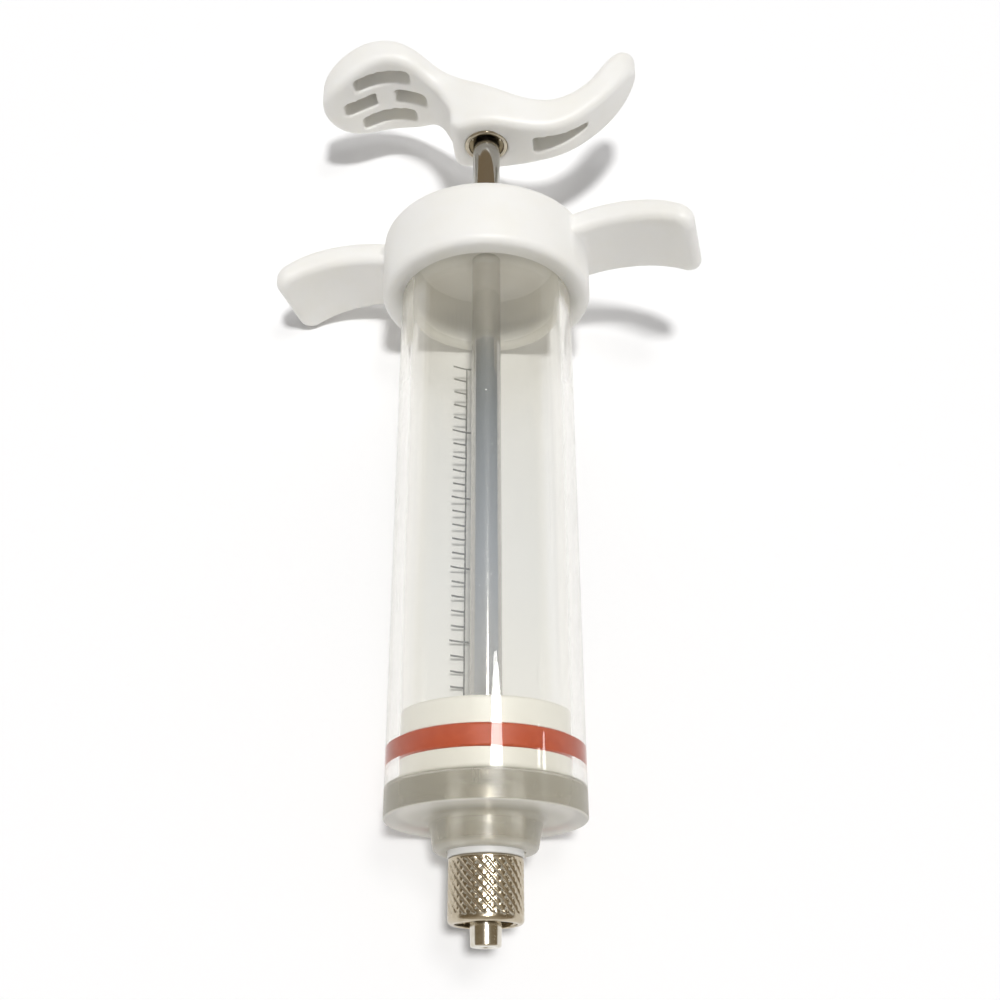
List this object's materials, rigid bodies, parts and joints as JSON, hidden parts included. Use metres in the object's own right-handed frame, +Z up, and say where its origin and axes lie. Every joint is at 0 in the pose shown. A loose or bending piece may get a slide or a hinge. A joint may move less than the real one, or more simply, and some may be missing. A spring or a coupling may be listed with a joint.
{
  "type": "syringe",
  "caption": "Reusable syringe lying on its side: clear graduated barrel, red-sealed piston on a chrome rod, winged end cap, wave-shaped push handle and knurled lock nozzle.",
  "frame": {"origin": "on the floor, under the middle of the whole syringe as it lies", "axes": "+Y along the syringe towards the handle, leaning up by about 2 degrees; +X towards the raised finger wing; +Z up"},
  "size_m": [0.0678, 0.1468, 0.0331],
  "materials": {
    "clear_barrel": "clear, faintly milky moulding",
    "white_washer": "plain",
    "plated_nozzle": "bright nickel plate",
    "plated_collar": "diamond knurled, nickel plate",
    "cream_disc": "satin",
    "red_seal": "silicone",
    "chrome_rod": "polished",
    "white_cap": "satin moulding",
    "white_handle": "satin moulding",
    "plated_insert": "nickel plate"
  },
  "bodies": {
    "barrel_body": {"barrel": "clear_barrel", "nozzle_washer": "white_washer", "luer_nozzle": "plated_nozzle", "luer_collar": "plated_collar", "end_cap": "white_cap"},
    "piston": {"piston_front": "cream_disc", "piston_seal": "red_seal", "piston_rear": "cream_disc"},
    "push_rod": {"piston_rod": "chrome_rod", "handle": "white_handle", "handle_insert": "plated_insert"}
  },
  "joints": [
    {"name": "plunger_slide", "type": "slide", "parent": "barrel_body", "child": "piston", "axis": [0, 0.9994, 0.0353], "range_m": [-0.0003, 0.0751]},
    {"name": "handle_turn", "type": "hinge", "parent": "piston", "child": "push_rod", "pos_m": [0, 0.05544, 0.01747], "axis": [0, 0.9994, 0.0353], "range_deg": [-180, 180]}
  ]
}
